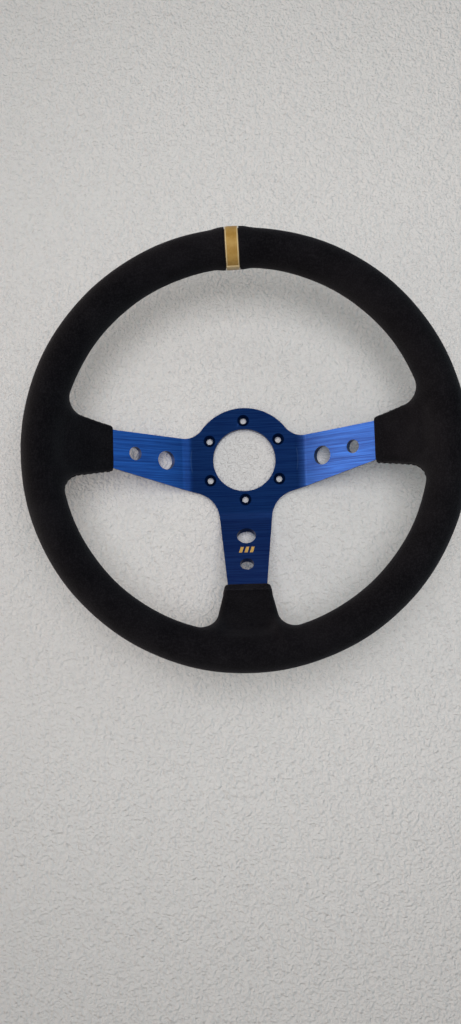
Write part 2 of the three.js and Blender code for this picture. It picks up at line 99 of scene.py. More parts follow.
# Cell of each net, and how far its grid reaches past the rim's centre circle.
COVER_CELL, FOAM_CELL = 1.85, 2.0
COVER_LOW = (-RIM_RADIUS - 18.9, -DISH - 18.3, -RIM_RADIUS - 18.4)
COVER_HIGH = (RIM_RADIUS + 18.6, -34.0, RIM_RADIUS + 18.8)
FOAM_LOW = (-RIM_RADIUS - 16, -DISH - 16, -RIM_RADIUS - 16)
FOAM_HIGH = (RIM_RADIUS + 16, -50.0, RIM_RADIUS + 16)

CAMERA_PLACE = Vector((0.0059, -0.6626, -0.0922))
CAMERA_TARGET = Vector((-0.01125, -0.080, -0.05095))
CAMERA_ROLL = -1.637
CAMERA_LENS = 26.42          # on a 36 mm long side

# Middle lines of each sleeve (its offset at SLEEVE_AT and its rise) and of the hidden tab,
# and how thick the folded end of the sleeve is.
SPOKES = {
    "left": {"direction": math.pi, "upwards": -1,
             "middle": 7.8, "rise": 0.06, "tab": 9.0, "hem": 0.3},
    "right": {"direction": 0.0, "upwards": 1,
              "middle": 7.8, "rise": 0.06, "tab": 9.0, "hem": 0.3},
    "lower": {"direction": -math.pi / 2, "upwards": 1,
              "middle": 0.0, "rise": 0.0, "tab": 0.0, "hem": 0.55},
}


# ---- shape of the covered rim -----------------------------------------------------------
def grip_radius(around):
    """The grip's radius at angles round the rim: it swells beside the centre mark."""
    away = np.angle(np.exp(1j * (around - MARK_ANGLE))) * RIM_RADIUS
    beside = np.maximum(np.abs(away) - MARK_WIDTH / 2 - RIDGE_FROM, 0) / RIDGE_REACH
    lumps = 0.10 * np.sin(7 * around + 1.3) + 0.07 * np.sin(17 * around + 0.4)
    return GRIP_RADIUS + RIDGE * np.exp(-beside * beside * 2.2) + lumps


def rim_distance(p):
    around = np.arctan2(p[:, 2], p[:, 0])
    out = np.hypot(p[:, 0], p[:, 2]) - RIM_RADIUS
    return np.hypot(out, p[:, 1] + DISH) - grip_radius(around)


def to_spoke(p, spoke):
    """Along the spoke, across it, and behind the plate's middle, square to the plate."""
    c, s = math.cos(spoke["direction"]), math.sin(spoke["direction"])
    along = p[:, 0] * c + p[:, 2] * s
    across = (p[:, 2] * c - p[:, 0] * s) * spoke["upwards"]
    middle = -PLATE / 2 - (along - BEND_AT) * math.tan(SLOPE)
    behind = (p[:, 1] - middle) * math.cos(SLOPE)
    return along, across, behind


def from_spoke(foot, across, behind, spoke):
    """A point at a foot on the plate's middle, across the spoke and behind the plate."""
    c, s = math.cos(spoke["direction"]), math.sin(spoke["direction"])
    along = foot + behind * math.sin(SLOPE)
    across = across * spoke["upwards"]
    y = -PLATE / 2 - (foot - BEND_AT) * math.tan(SLOPE) + behind * math.cos(SLOPE)
    return np.stack([along * c - across * s, y, along * s + across * c], -1)


def sleeve_middle(spoke, along):
    return spoke["middle"] + spoke["rise"] * (along - SLEEVE_AT)


def sleeve_half_width(along):
    return SLEEVE_HALF_WIDTH + SLEEVE_FLARE * (along - SLEEVE_AT)


def sleeve_distance(p, spoke):
    along, across, behind = to_spoke(p, spoke)
    foot = along - behind * math.sin(SLOPE)
    half = np.interp(foot, SLEEVE_STATIONS, SLEEVE_HALVES)
    rounding = SLEEVE_ROUNDING * half
    off = np.abs(across - sleeve_middle(spoke, along))
    u = off - (sleeve_half_width(along) - rounding)
    v = np.abs(behind) - (half - rounding)
    flat = np.hypot(np.maximum(u, 0), np.maximum(v, 0)) + np.minimum(np.maximum(u, v), 0)
    ends = np.maximum(SLEEVE_STATIONS[0] - foot, along - RIM_RADIUS - 2)
    return np.maximum(flat - rounding, ends), off / sleeve_half_width(along)


def filleted(a, b, radius):
    """Two distances as one shape, with a round fillet where they meet."""
    outside = np.hypot(np.maximum(radius - a, 0), np.maximum(radius - b, 0))
    return np.maximum(radius, np.minimum(a, b)) - outside


def cover_distance(p):
    """Distance outside the covered rim and its three sleeves, in mm."""
    distance = rim_distance(p)
    inner = np.clip((RIM_RADIUS + 3 - np.hypot(p[:, 0], p[:, 2])) / 8, 0, 1)
    for spoke in SPOKES.values():
        sleeve, share = sleeve_distance(p, spoke)
        edge = np.clip((share - 0.55) / 0.4, 0, 1)
        radius = FACE_FILLET + (SIDE_FILLET - FACE_FILLET) * edge * edge * (3 - 2 * edge)
        radius = 0.5 + (radius - 0.5) * inner
        distance = filleted(distance, sleeve, radius)
    return distance


def slopes(p, distance=cover_distance, step=0.05):
    """The distance at points, and the unit outward direction there."""
    shifts = np.eye(3) * step
    slope = [(distance(p + s) - distance(p - s)) / (2 * step) for s in shifts]
    slope = np.stack(slope, -1)
    length = np.linalg.norm(slope, axis=1, keepdims=True)
    return distance(p), slope / np.maximum(length, 1e-9)


def onto_cover(p, rounds=3):
    """Points moved onto the cover's surface, along its own slope."""
    for _ in range(rounds):
        value, outward = slopes(p)
        p = p - np.clip(value, -2, 2)[:, None] * outward
    return p


# ---- meshes -----------------------------------------------------------------------------
def new_piece(name, points, faces, material, slot, smooth=True):
    """A piece from points in mm and faces, turned so that its faces look outwards."""
    mesh = bpy.data.meshes.new(name)
    mesh.from_pydata((np.asarray(points) * MM).tolist(), [], faces)
    shape = bmesh.new()
    shape.from_mesh(mesh)
    if shape.calc_volume(signed=True) < 0:
        bmesh.ops.reverse_faces(shape, faces=shape.faces)
        shape.to_mesh(mesh)
    shape.free()
    mesh.polygons.foreach_set("use_smooth", [smooth] * len(mesh.polygons))
    mesh.materials.append(material)
    mesh.update()
    piece = bpy.data.objects.new(name, mesh)
    bpy.context.scene.collection.objects.link(piece)
    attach(piece, "root")
    return piece


def net(distance, low, high, cell):
    """A closed quad mesh of the surface where the distance is zero."""
    axes = [np.arange(low[i], high[i] + cell, cell) for i in range(3)]
    shape = tuple(len(a) for a in axes)
    grid = np.stack(np.meshgrid(*axes, indexing="ij"), -1).reshape(-1, 3)
    value = distance(grid).reshape(shape)
    inside = value < 0

    cells = tuple(n - 1 for n in shape)
    total = np.zeros(cells + (3,))
    count = np.zeros(cells)
    corners = [(0, 0), (0, 1), (1, 1), (1, 0)]
    crossings = []
    for axis in range(3):
        first = [slice(None)] * 3
        second = [slice(None)] * 3
        first[axis], second[axis] = slice(0, -1), slice(1, None)
        a, b = value[tuple(first)], value[tuple(second)]
        crossed = (a < 0) != (b < 0)
        share = np.where(crossed, a / np.where(crossed, a - b, 1), 0)
        where = np.argwhere(crossed)
        place = where.astype(float)
        place[:, axis] += share[crossed]
        others = [i for i in range(3) if i != axis]
        for m, n in corners:
            cell_at = where.copy()
            cell_at[:, others[0]] -= m
            cell_at[:, others[1]] -= n
            good = ((cell_at >= 0) & (cell_at < cells)).all(1)
            at = tuple(cell_at[good].T)
            np.add.at(total, at, place[good])
            np.add.at(count, at, 1)
        crossings.append((where, others, inside[tuple(where.T)], axis))

    number = np.full(cells, -1)
    used = count > 0
    number[used] = np.arange(used.sum())
    points = total[used] / count[used][:, None] * cell + np.array(low)
    faces = []
    for where, others, starts_inside, axis in crossings:
        ring = []
        for m, n in corners:
            cell_at = where.copy()
            cell_at[:, others[0]] -= m
            cell_at[:, others[1]] -= n
            ring.append(number[tuple(np.clip(cell_at, 0, np.array(cells) - 1).T)])
        quads = np.stack(ring, -1)
        turned = starts_inside != (axis == 1)
        quads[turned] = quads[turned][:, ::-1]
        faces.append(quads[(quads >= 0).all(1)])
    return points, np.concatenate(faces)


def evened(points, faces, distance, rounds):
    """Spreads a net's points evenly over the surface."""
    edges = np.concatenate([faces[:, [i, (i + 1) % 4]] for i in range(4)])
    for _ in range(rounds):
        total = np.zeros_like(points)
        np.add.at(total, edges[:, 0], points[edges[:, 1]])
        np.add.at(total, edges[:, 1], points[edges[:, 0]])
        degree = np.bincount(edges.ravel(), minlength=len(points))[:, None]
        points = points + 0.6 * (total / degree - points)
        value, outward = slopes(points, distance)
        points = points - value[:, None] * outward
    return points


def tube(path, radius, sides):
    """Points and faces of a round thread with closed ends, along a list of points."""
    path = np.asarray(path, float)
    ahead = np.gradient(path, axis=0)
    ahead /= np.linalg.norm(ahead, axis=1, keepdims=True)
    side = np.cross(ahead, ahead[0] + np.array([0.31, 0.57, 0.76]))
    side /= np.linalg.norm(side, axis=1, keepdims=True)
    over = np.cross(ahead, side)
    turn = np.linspace(0, 2 * np.pi, sides, endpoint=False)
    rings = [side * math.cos(t) + over * math.sin(t) for t in turn]
    points = (path[:, None] + radius * np.stack(rings, 1)).reshape(-1, 3)
    faces = grid_faces(len(path), sides)
    faces.append(list(range(sides))[::-1])
    faces.append([(len(path) - 1) * sides + i for i in range(sides)])
    return points, faces


def grid_faces(rows, columns, closed_rows=False):
    """Quads between rows of points; each row is a closed loop of columns."""
    faces = []
    for i in range(rows if closed_rows else rows - 1):
        a, b = i * columns, (i + 1) % rows * columns
        for j in range(columns):
            k = (j + 1) % columns
            faces.append([a + j, a + k, b + k, b + j])
    return faces


def gathered(parts):
    """Several (points, faces) as one."""
    points, faces, start = [], [], 0
    for part_points, part_faces in parts:
        points.append(part_points)
        faces += [[start + i for i in face] for face in part_faces]
        start += len(part_points)
    return np.concatenate(points), faces


def along_path(points, step):
    """A smooth line through points, resampled at even steps."""
    points = np.asarray(points, float)
    padded = np.concatenate([[2 * points[0] - points[1]], points, [2 * points[-1] - points[-2]]])
    t = np.linspace(0, 1, 20, endpoint=False)[:, None]
    fine = []
    for a, b, c, d in zip(padded, padded[1:], padded[2:], padded[3:]):
        fine.append(0.5 * (2 * b + (c - a) * t + (2 * a - 5 * b + 4 * c - d) * t * t
                           + (3 * b - a - 3 * c + d) * t ** 3))
    fine = np.concatenate(fine + [points[-1:]])
    run = np.concatenate([[0], np.cumsum(np.linalg.norm(np.diff(fine, axis=0), axis=1))])
    at = np.linspace(0, run[-1], max(int(run[-1] / step), 4) + 1)
    return np.stack([np.interp(at, run, fine[:, i]) for i in range(3)], -1)


def surface_line(points, step):
    """A line on the cover, with its run and its sideways directions."""
    line = onto_cover(along_path(points, step), 12)
    for _ in range(6):
        middle = (line[:-2] + line[2:]) / 2
        line = onto_cover(np.concatenate([line[:1], line[1:-1] * 0.5 + middle * 0.5, line[-1:]]))
    ahead = np.gradient(line, axis=0)
    ahead /= np.linalg.norm(ahead, axis=1, keepdims=True)
    _, outward = slopes(line)
    side = np.cross(outward, ahead)
    side /= np.linalg.norm(side, axis=1, keepdims=True)
    run = np.concatenate([[0], np.cumsum(np.linalg.norm(np.diff(line, axis=0), axis=1))])
    return line, run, side


def beside(line, run, side, at, off, height):
    """Points at runs along a surface line, off to its side and above the cover, in mm."""
    at, off, height = np.broadcast_arrays(at, off, height)
    flat = at.ravel()
    base = np.stack([np.interp(flat, run, line[:, i]) for i in range(3)], -1)
    aside = np.stack([np.interp(flat, run, side[:, i]) for i in range(3)], -1)
    foot = onto_cover(base + aside * off.ravel()[:, None], 2)
    _, outward = slopes(foot)
    return (foot + outward * height.ravel()[:, None]).reshape(at.shape + (3,))


# ---- seams ------------------------------------------------------------------------------
SEAMS = {
    "upper_right": {"spoke": "right", "side": 1, "angle": "upper", "from": 19, "to": 88.6},
    "upper_left": {"spoke": "left", "side": 1, "angle": "upper", "from": 161, "to": 94.4},
    "lower_left": {"spoke": "left", "side": -1, "angle": "lower", "from": 195, "to": 256,
                   "ends": ("lower", -1)},
    "lower_right": {"spoke": "right", "side": -1, "angle": "lower", "from": 345, "to": 284,
                    "ends": ("lower", 1)},
}


def sleeve_rays(name, side):
    """Points inside a sleeve's edge, from its end outwards, and ways out towards the window."""
    spoke = SPOKES[name]
    starts, ways = [], []
    turned = math.pi / 2 * side * spoke["upwards"] + spoke["direction"]
    out = np.array([math.cos(turned), 0, math.sin(turned)])
    ahead = np.array([math.cos(spoke["direction"]), 0, math.sin(spoke["direction"])])
    for foot, lean in ((SLEEVE_AT + 0.3, 0), (115, 0), (120, 0), (126, 0.1), (134, 0.35),
                       (141, 0.8)):
        half = float(np.interp(foot, SLEEVE_STATIONS, SLEEVE_HALVES))
        across = sleeve_middle(spoke, foot) + side * (sleeve_half_width(foot) - half)
        starts.append(from_spoke(foot, across, 0.0, spoke))
        way = out - ahead * lean
        way = way / np.linalg.norm(way) * math.cos(SEAM_LIFT[name])
        ways.append(way + np.array([0, math.sin(SEAM_LIFT[name]), 0]))
    return starts, ways


def seam_points(seam):
    """Points on the cover along a seam, found by going out from inside it."""
    starts, ways = sleeve_rays(seam["spoke"], seam["side"])
    section = SEAM_ANGLE[seam["angle"]]
    for degrees in np.linspace(seam["from"], seam["to"], 24):
        around = math.radians(degrees)
        outward = np.array([math.cos(around), 0, math.sin(around)])
        starts.append(outward * RIM_RADIUS - np.array([0, DISH, 0]))
        ways.append(outward * math.cos(section) + np.array([0, math.sin(section), 0]))
    if "ends" in seam:
        last_starts, last_ways = sleeve_rays(*seam["ends"])
        starts += last_starts[::-1]
        ways += last_ways[::-1]
    steps = np.linspace(0, len(starts) - 1, 8 * len(starts))
    starts, ways = (np.stack([np.interp(steps, range(len(v)), np.array(v)[:, i])
                              for i in range(3)], -1) for v in (starts, ways))
    ways /= np.linalg.norm(ways, axis=1, keepdims=True)
    low, high = np.zeros(len(steps)), np.zeros(len(steps))
    for reach in np.arange(0, 30, 0.5):
        inside = (cover_distance(starts + ways * reach) < 0) & (high == low)
        low[inside] = reach
        high[inside] = reach
        high[(high == low) & ~inside & (low > 0)] += 0.5
    for _ in range(12):
        middle = (low + high) / 2
        inside = cover_distance(starts + ways * middle[:, None]) < 0
        low, high = np.where(inside, middle, low), np.where(inside, high, middle)
    return starts + ways * low[:, None]


def seam_lips(line, run, side):
    """The folded edges of the suede, butted together, puckered at each stitch."""
    across = np.linspace(-4.2, 4.2, 19)
    at = np.arange(0, run[-1], 0.65)
    pull = 0.5 + 0.5 * np.cos(2 * np.pi * at / (STITCH_PITCH / 2))
    lip = np.exp(-((np.abs(across) - 1.25) / 0.85) ** 2)
    valley = np.exp(-(across / 0.45) ** 2)
    fall = np.clip((np.abs(across) - 2.2) / 2.0, 0, 1) ** 2
    top = (0.62 - 0.20 * pull[:, None]) * lip - 0.35 * valley - 0.30 * fall
    under = np.full((len(at), 5), -0.75)
    heights = np.concatenate([top, under], 1)
    offs = np.concatenate([across, np.linspace(3.6, -3.6, 5)])
    points = beside(line, run, side, at[:, None], offs[None, :], heights)
    rows, columns = heights.shape
    faces = grid_faces(rows, columns)
    faces.append(list(range(columns))[::-1])
    faces.append([(rows - 1) * columns + i for i in range(columns)])
    return points.reshape(-1, 3), faces


def lacing(line, run, side):
    """One thread that crosses the seam to and fro, as separate dipped stitches."""
    parts = []
    count = int(run[-1] / (STITCH_PITCH / 2)) - 1
    share = np.linspace(-1, 1, 11)
    for i in range(count):
        sign = 1 if i % 2 else -1
        at = (i + 0.5 + share / 2) * STITCH_PITCH / 2 + 0.6
        height = 0.80 - 1.25 * np.abs(share) ** 4
        path = beside(line, run, side, at, STITCH_REACH * sign * share, height)
        parts.append(tube(path, THREAD, THREAD_SIDES))
    return gathered(parts)


# ---- sleeve hems ------------------------------------------------------------------------
def sleeve_loop(spoke, foot, count=120):
    """A closed loop around a sleeve at one foot, found outwards from its middle."""
    turn = np.linspace(0, 2 * np.pi, count, endpoint=False)
    half = float(np.interp(foot, SLEEVE_STATIONS, SLEEVE_HALVES))
    wide = sleeve_half_width(foot)
    c, s = np.cos(turn), np.sin(turn)
    squareness, inset = 0.35, 0.96
    across = np.sign(c) * np.abs(c) ** squareness * wide * inset
    behind = np.sign(s) * np.abs(s) ** squareness * half * inset
    middle = sleeve_middle(spoke, foot)
    p = from_spoke(foot, middle + across, behind, spoke)
    for _ in range(6):
        value, outward = slopes(p)
        p = p - value[:, None] * outward
        along, aside, back = to_spoke(p, spoke)
        p = from_spoke(np.full(count, foot), aside, back, spoke)
    loop = np.concatenate([p, p[:1]])
    run = np.concatenate([[0], np.cumsum(np.linalg.norm(np.diff(loop, axis=0), axis=1))])
    at = np.linspace(0, run[-1], 4 * count, endpoint=False)
    even = np.stack([np.interp(at, run, loop[:, i]) for i in range(3)], -1)
    return even, run[-1]


def hem_band(spoke):
    """The sleeve's end, folded over: a raised strip with round edges around its mouth."""
    lift = spoke["hem"]
    profile = []
    for share, height in [(0, 0.10), (0.05, 0.7 * lift), (0.16, 0.95 * lift), (0.5, lift),
                          (0.84, 0.8 * lift), (0.96, 0.4 * lift), (1, -0.15), (0.8, -0.9),
                          (0.3, -1.3), (0, -1.3), (-0.03, -0.5)]:
        profile.append((SLEEVE_AT - 0.25 + share * HEM, height))
    rings = []
    for foot, height in profile:
        loop, _ = sleeve_loop(spoke, foot)
        _, outward = slopes(loop)
        along, across, behind = to_spoke(loop + outward * height, spoke)
        rings.append(from_spoke(np.full(len(loop), foot), across, behind, spoke))
    points = np.stack(rings, 0)
    rows, columns = points.shape[:2]
    faces = grid_faces(rows, columns, closed_rows=True)
    return points.reshape(-1, 3), faces


def hem_stitches(spoke):
    """A running stitch just inside the folded end."""
    loop, length = sleeve_loop(spoke, SLEEVE_AT + HEM - 0.9)
    _, outward = slopes(loop)
    loop = np.concatenate([loop, loop[:1]])
    outward = np.concatenate([outward, outward[:1]])
    run = np.linspace(0, length, len(loop))
    count = int(length / HEM_STITCH_PITCH)
    parts = []
    for i in range(count):
        at = (i + np.linspace(0.14, 0.86, 8)) * length / count
        height = spoke["hem"] - 0.36 - 0.7 * np.abs(np.linspace(-1, 1, 8)) ** 5
        base = np.stack([np.interp(at, run, loop[:, k]) for k in range(3)], -1)
        out = np.stack([np.interp(at, run, outward[:, k]) for k in range(3)], -1)
        parts.append(tube(base + out * height[:, None], HEM_THREAD, THREAD_SIDES))
    return gathered(parts)


# ---- centre mark ------------------------------------------------------------------------
def centre_band():
    """The gold strip: slightly crowned, edges turned down, its end lapped on the hub's side."""
    sections, rows = 150, []
    half = MARK_WIDTH / 2
    to_edge = np.array([0, 0.3, 0.6, 0.78, 0.84, 0.93, 0.985, 1])
    crown = np.array([0.06, 0.05, 0.0, -0.07, 0.0, 0.02, -0.12, -0.5])
    across = np.concatenate([-to_edge[:0:-1], to_edge])
    height = np.concatenate([crown[:0:-1], crown])
    lap = math.radians(180)
    turn = lap + np.linspace(0, 2 * np.pi + math.radians(16), sections)
    lift = np.clip((turn - lap - 2 * np.pi + math.radians(5)) / math.radians(6), 0, 1) * 0.75
    tail = np.clip((turn - turn[-1] + math.radians(2.2)) / math.radians(2.2), 0, 1) * 0.35
    for offs, heights in ((across, height), (across[::-1], np.full(len(across), -1.0))):
        for o, h in zip(offs, heights):
            radius = MARK_RADIUS + h + lift - tail * (h > -0.9)
            around = MARK_ANGLE + o * half / (RIM_RADIUS + radius * np.cos(turn))
            out = RIM_RADIUS + radius * np.cos(turn)
            rows.append(np.stack([out * np.cos(around), -DISH + radius * np.sin(turn),
                                  out * np.sin(around)], -1))
    points = np.stack(rows, 1)
    count, columns = points.shape[:2]
    faces = grid_faces(count, columns)
    faces.append(list(range(columns))[::-1])
    faces.append([(count - 1) * columns + i for i in range(columns)])
    return points.reshape(-1, 3), faces


# ---- finishes ---------------------------------------------------------------------------
class Finish:
    """A node material with the helpers that the finishes below share."""

    def __init__(self, name, constants):
        self.material = bpy.data.materials.new(name)
        self.material.use_nodes = True
        self.nodes = self.material.node_tree.nodes
        self.links = self.material.node_tree.links
        self.shader = self.nodes["Principled BSDF"]
        for socket, value in constants.items():
            self.shader.inputs[socket].default_value = value
        self.place = self.nodes.new("ShaderNodeTexCoord").outputs["Object"]

    def add(self, kind, inputs, **settings):
        node = self.nodes.new("ShaderNode" + kind)
        for key, value in settings.items():
            setattr(node, key, value)
        for key, value in inputs.items():
            if isinstance(value, bpy.types.NodeSocket):
                self.links.new(value, node.inputs[key])
            else:
                node.inputs[key].default_value = value
        return node

    def noise(self, per_metre, detail=3.0, stretch=(1, 1, 1), rough=0.5):
        mapped = self.add("Mapping", {"Vector": self.place, "Scale": stretch}).outputs[0]
        inputs = {"Vector": mapped, "Scale": per_metre, "Detail": detail, "Roughness": rough}
        return self.add("TexNoise", inputs).outputs["Fac"]

    def ranged(self, value, low, high, to_low=0.0, to_high=1.0):
        inputs = {"Value": value, "From Min": low, "From Max": high,
                  "To Min": to_low, "To Max": to_high}
        return self.add("MapRange", inputs, interpolation_type="SMOOTHSTEP").outputs[0]

    def maths(self, operation, a, b=0.0):
        return self.add("Math", {0: a, 1: b}, operation=operation).outputs[0]

    def mixed(self, share, a, b):
        return self.add("Mix", {0: share, 6: a, 7: b}, data_type="RGBA").outputs[2]

    def bump(self, height, depth, strength=1.0, normal=None):
        inputs = {"Height": height, "Distance": depth, "Strength": strength}
        if normal:
            inputs["Normal"] = normal
        return self.add("Bump", inputs).outputs[0]

    def set(self, **sockets):
        for name, value in sockets.items():
            self.links.new(value, self.shader.inputs[name.replace("_", " ")])
        return self.material


def suede_finish(name, worn=1.0):
    f = Finish(name, {
        "Roughness": 0.95, "Specular IOR Level": 0.12,
        "Sheen Weight": 0.06, "Sheen Roughness": 0.45, "Sheen Tint": (0.50, 0.50, 0.58, 1)})
    nap = f.noise(2600, 5, rough=0.7)
    brushed = f.noise(420, 4, rough=0.65)
    patches = f.noise(38, 3)
    tufts = f.noise(900, 3, rough=0.6)
    dark, light, tip = ([worn * part for part in colour] + [1] for colour in (
        (0.0010, 0.0009, 0.0016), (0.0080, 0.0076, 0.0092), (0.016, 0.0155, 0.018)))
    shade = f.maths("ADD", f.ranged(patches, 0.32, 0.72, 0.0, 0.3),
                    f.ranged(tufts, 0.42, 0.66, 0.0, 0.7))
    colour = f.mixed(shade, dark, light)
    colour = f.mixed(f.ranged(nap, 0.52, 0.76, 0, 0.55), colour, tip)
    grain = f.maths("ADD", f.maths("MULTIPLY", brushed, 0.8), nap)
    normal = f.bump(f.noise(90, 3), 0.0005, 0.5)
    normal = f.bump(grain, 0.00025, 0.9, normal)
    return f.set(Base_Color=colour, Normal=normal)


def thread_finish():
    f = Finish("black_thread_finish", {
        "Roughness": 0.65, "Specular IOR Level": 0.3, "Sheen Weight": 0.08})
    fibre = f.noise(5200, 3)
    colour = f.mixed(f.ranged(fibre, 0.35, 0.7), (0.003, 0.003, 0.0035, 1),
                     (0.014, 0.0135, 0.015, 1))
    return f.set(Base_Color=colour, Normal=f.bump(fibre, 0.0001, 0.8))


def gold_finish():
    f = Finish("gold_leather_finish", {"Specular IOR Level": 0.5, "Coat Weight": 0.08,
                                       "Coat Roughness": 0.35})
    grain = f.noise(1500, 4, rough=0.65)
    wear = f.noise(180, 4, rough=0.6)
    colour = f.mixed(f.ranged(wear, 0.35, 0.72), (0.250, 0.142, 0.025, 1), (0.330, 0.208, 0.055, 1))
    colour = f.mixed(f.ranged(grain, 0.55, 0.8, 0, 0.4), colour, (0.20, 0.11, 0.02, 1))
    edge = f.add("Attribute", {}, attribute_name="edge").outputs["Fac"]
    colour = f.mixed(edge, colour, (0.43, 0.34, 0.19, 1))
    rough = f.ranged(wear, 0.3, 0.7, 0.46, 0.62)
    normal = f.bump(grain, 0.00012, 0.7)
    return f.set(Base_Color=colour, Roughness=rough, Normal=normal)


RUBBED_RADIUS = 47.0         # of the worn arcs, about the steering axis


def anodised_finish():
    f = Finish("blue_anodised_finish", {
        "Metallic": 1.0, "Anisotropic": 0.6, "Coat Roughness": 0.25})
    wide = f.noise(1, 3, (14, 14, 900), 0.7)
    fine = f.noise(1, 3, (30, 30, 2600), 0.7)
    cloud = f.noise(22, 2)
    streak = f.maths("ADD", f.maths("MULTIPLY", wide, 0.55), f.maths("MULTIPLY", fine, 0.45))
    deep = (0.001, 0.050, 0.310, 1)
    pale = (0.017, 0.122, 0.530, 1)
    colour = f.mixed(f.ranged(streak, 0.38, 0.61), deep, pale)
    colour = f.mixed(f.ranged(cloud, 0.3, 0.7, 0, 0.25), colour, (0.002, 0.045, 0.28, 1))
    # a pale worn arc on each side of the hub, where a ring has rubbed
    split = f.add("SeparateXYZ", {"Vector": f.place})
    across = f.maths("POWER", split.outputs["X"], 2.0)
    upward = f.maths("POWER", split.outputs["Z"], 2.0)
    radius = f.maths("SQRT", f.maths("ADD", across, upward))
    ring = f.maths("ABSOLUTE", f.maths("SUBTRACT", radius, RUBBED_RADIUS * MM))
    arc = f.ranged(ring, 0.0, 0.0007, 0.75, 0.0)
    sector = f.ranged(f.maths("ABSOLUTE", split.outputs["Z"]), 0.008, 0.011, 1, 0)
    arc = f.maths("MULTIPLY", arc, sector)
    colour = f.mixed(f.maths("MULTIPLY", arc, 0.55), colour, (0.10, 0.26, 0.66, 1))
    # painted shade: the plate's cut edges, the countersinks and the walls of the holes are coloured
    # darker than the two faces, and are rougher and without a coat
    facing = f.add("SeparateXYZ", {"Vector": f.add("NewGeometry", {}).outputs["True Normal"]})
    painted_shade_faces = f.ranged(f.maths("ABSOLUTE", facing.outputs["Y"]), 0.72, 0.78, 1.0, 0.0)
    colour = f.mixed(painted_shade_faces, colour, (0.0011, 0.013, 0.070, 1))
    rough = f.maths("ADD", f.ranged(streak, 0.3, 0.7, 0.46, 0.30), f.maths("MULTIPLY", painted_shade_faces, 0.12))
    normal = f.bump(f.maths("SUBTRACT", streak, f.maths("MULTIPLY", arc, 0.6)), 0.00006, 0.55)
    upright = f.add("CombineXYZ", {"Z": 1.0}).outputs[0]
    gloss = f.ranged(painted_shade_faces, 0.0, 1.0, 0.5, 0.0)
    return f.set(Base_Color=colour, Roughness=rough, Normal=normal, Tangent=upright,
                 Coat_Weight=gloss)


def print_finish():
    f = Finish("printed_marks_finish", {"Roughness": 0.5})
    worn = f.noise(900, 4)
    colour = f.mixed(f.ranged(worn, 0.5, 0.75), (0.46, 0.29, 0.075, 1), (0.30, 0.19, 0.06, 1))
    return f.set(Base_Color=colour, Normal=f.bump(worn, 0.00003, 0.5))


def metal_finish(name, colour, worn, roughness):
    f = Finish(name, {"Metallic": 1.0})
    wear = f.noise(240, 5, rough=0.65)
    fine = f.noise(2400, 3)
    mixed = f.mixed(f.ranged(wear, 0.35, 0.7), colour, worn)
    rough = f.ranged(fine, 0.3, 0.7, roughness - 0.08, roughness + 0.10)
    return f.set(Base_Color=mixed, Roughness=rough, Normal=f.bump(fine, 0.00005, 0.6))


def foam_finish():
    f = Finish("padding_foam_finish", {"Roughness": 0.92, "Specular IOR Level": 0.2})
    cells = f.add("TexVoronoi", {"Vector": f.place, "Scale": 900.0}).outputs["Distance"]
    shade = f.noise(60, 3)
    colour = f.mixed(f.ranged(shade, 0.3, 0.7), (0.020, 0.020, 0.021, 1), (0.045, 0.044, 0.043, 1))
    return f.set(Base_Color=colour, Normal=f.bump(cells, 0.0004, 0.8))


suede = suede_finish("black_suede_finish")
# A copy of the suede with all its colours 1.9 times lighter; it is used only for the lower sleeve's
# hem.
hem_suede = suede_finish("black_suede_hem_finish", worn=1.9)
thread = thread_finish()
gold = gold_finish()


# ---- the suede cover --------------------------------------------------------------------
SLEEVE_CUT_REACH = 34        # a cut opens only the one sleeve within this distance


def cut_near(mesh, centre, normal, reach):
    """Cuts the faces near a centre along a plane there, in mm."""
    near = [f for f in mesh.faces if (f.calc_center_median() - centre).length < reach]
    geometry = set(near)
    for face in near:
        geometry.update(face.verts)
        geometry.update(face.edges)
    bmesh.ops.bisect_plane(mesh, geom=list(geometry), dist=1e-4, plane_co=centre, plane_no=normal)


def remove_between(mesh, centre, normal, low, high, reach):
    """Removes the faces near a centre that lie between two distances from a plane there."""
    gone = []
    for face in mesh.faces:
        away = face.calc_center_median() - centre
        if away.length < reach and low < away.dot(normal) < high:
            gone.append(face)
    bmesh.ops.delete(mesh, geom=gone, context="FACES")


def suede_cover():
    cell = COVER_CELL
    points, faces = net(cover_distance, COVER_LOW, COVER_HIGH, cell)
    points = evened(points, faces, cover_distance, 4)
    mesh = bmesh.new()
    corners = [mesh.verts.new(p) for p in points]
    for face in faces:
        mesh.faces.new([corners[i] for i in face])
    for spoke in SPOKES.values():
        foot, ahead = (from_spoke(np.array([at]), np.array([sleeve_middle(spoke, SLEEVE_AT)]),
                                  np.array([0.0]), spoke)[0] for at in (SLEEVE_AT, SLEEVE_AT + 1))
        centre, normal = Vector(foot), Vector(ahead - foot).normalized()
        cut_near(mesh, centre, normal, SLEEVE_CUT_REACH)
        remove_between(mesh, centre, normal, -20, 0, SLEEVE_CUT_REACH)
    around = Vector((-math.sin(MARK_ANGLE), 0, math.cos(MARK_ANGLE)))
    centre = Vector((RIM_RADIUS * math.cos(MARK_ANGLE), -DISH, RIM_RADIUS * math.sin(MARK_ANGLE)))
    half = MARK_WIDTH / 2 + MARK_GAP
    for side in (-1, 1):
        cut_near(mesh, centre + around * (side * half), around, 26)
    remove_between(mesh, centre, around, -half, half, 30)
    mesh.normal_update()
    points = [v.co[:] for v in mesh.verts]
    mesh.verts.index_update()
    faces = [[v.index for v in f.verts] for f in mesh.faces]
    mesh.free()
    piece = new_piece("suede_grip", points, faces, suede, "black_suede")
    wall = piece.modifiers.new("thickness", "SOLIDIFY")
    wall.thickness = SUEDE * MM
    wall.offset = -1
    wall.use_even_offset = False
    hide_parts("suede_cover")
    return piece


cover = suede_cover()


# ---- the foam under it, around the core, the rivets and the hidden ends of the spokes ----
RIVETS = [name + "_rivet_" + end for name in SPOKES for end in ("a", "b")]


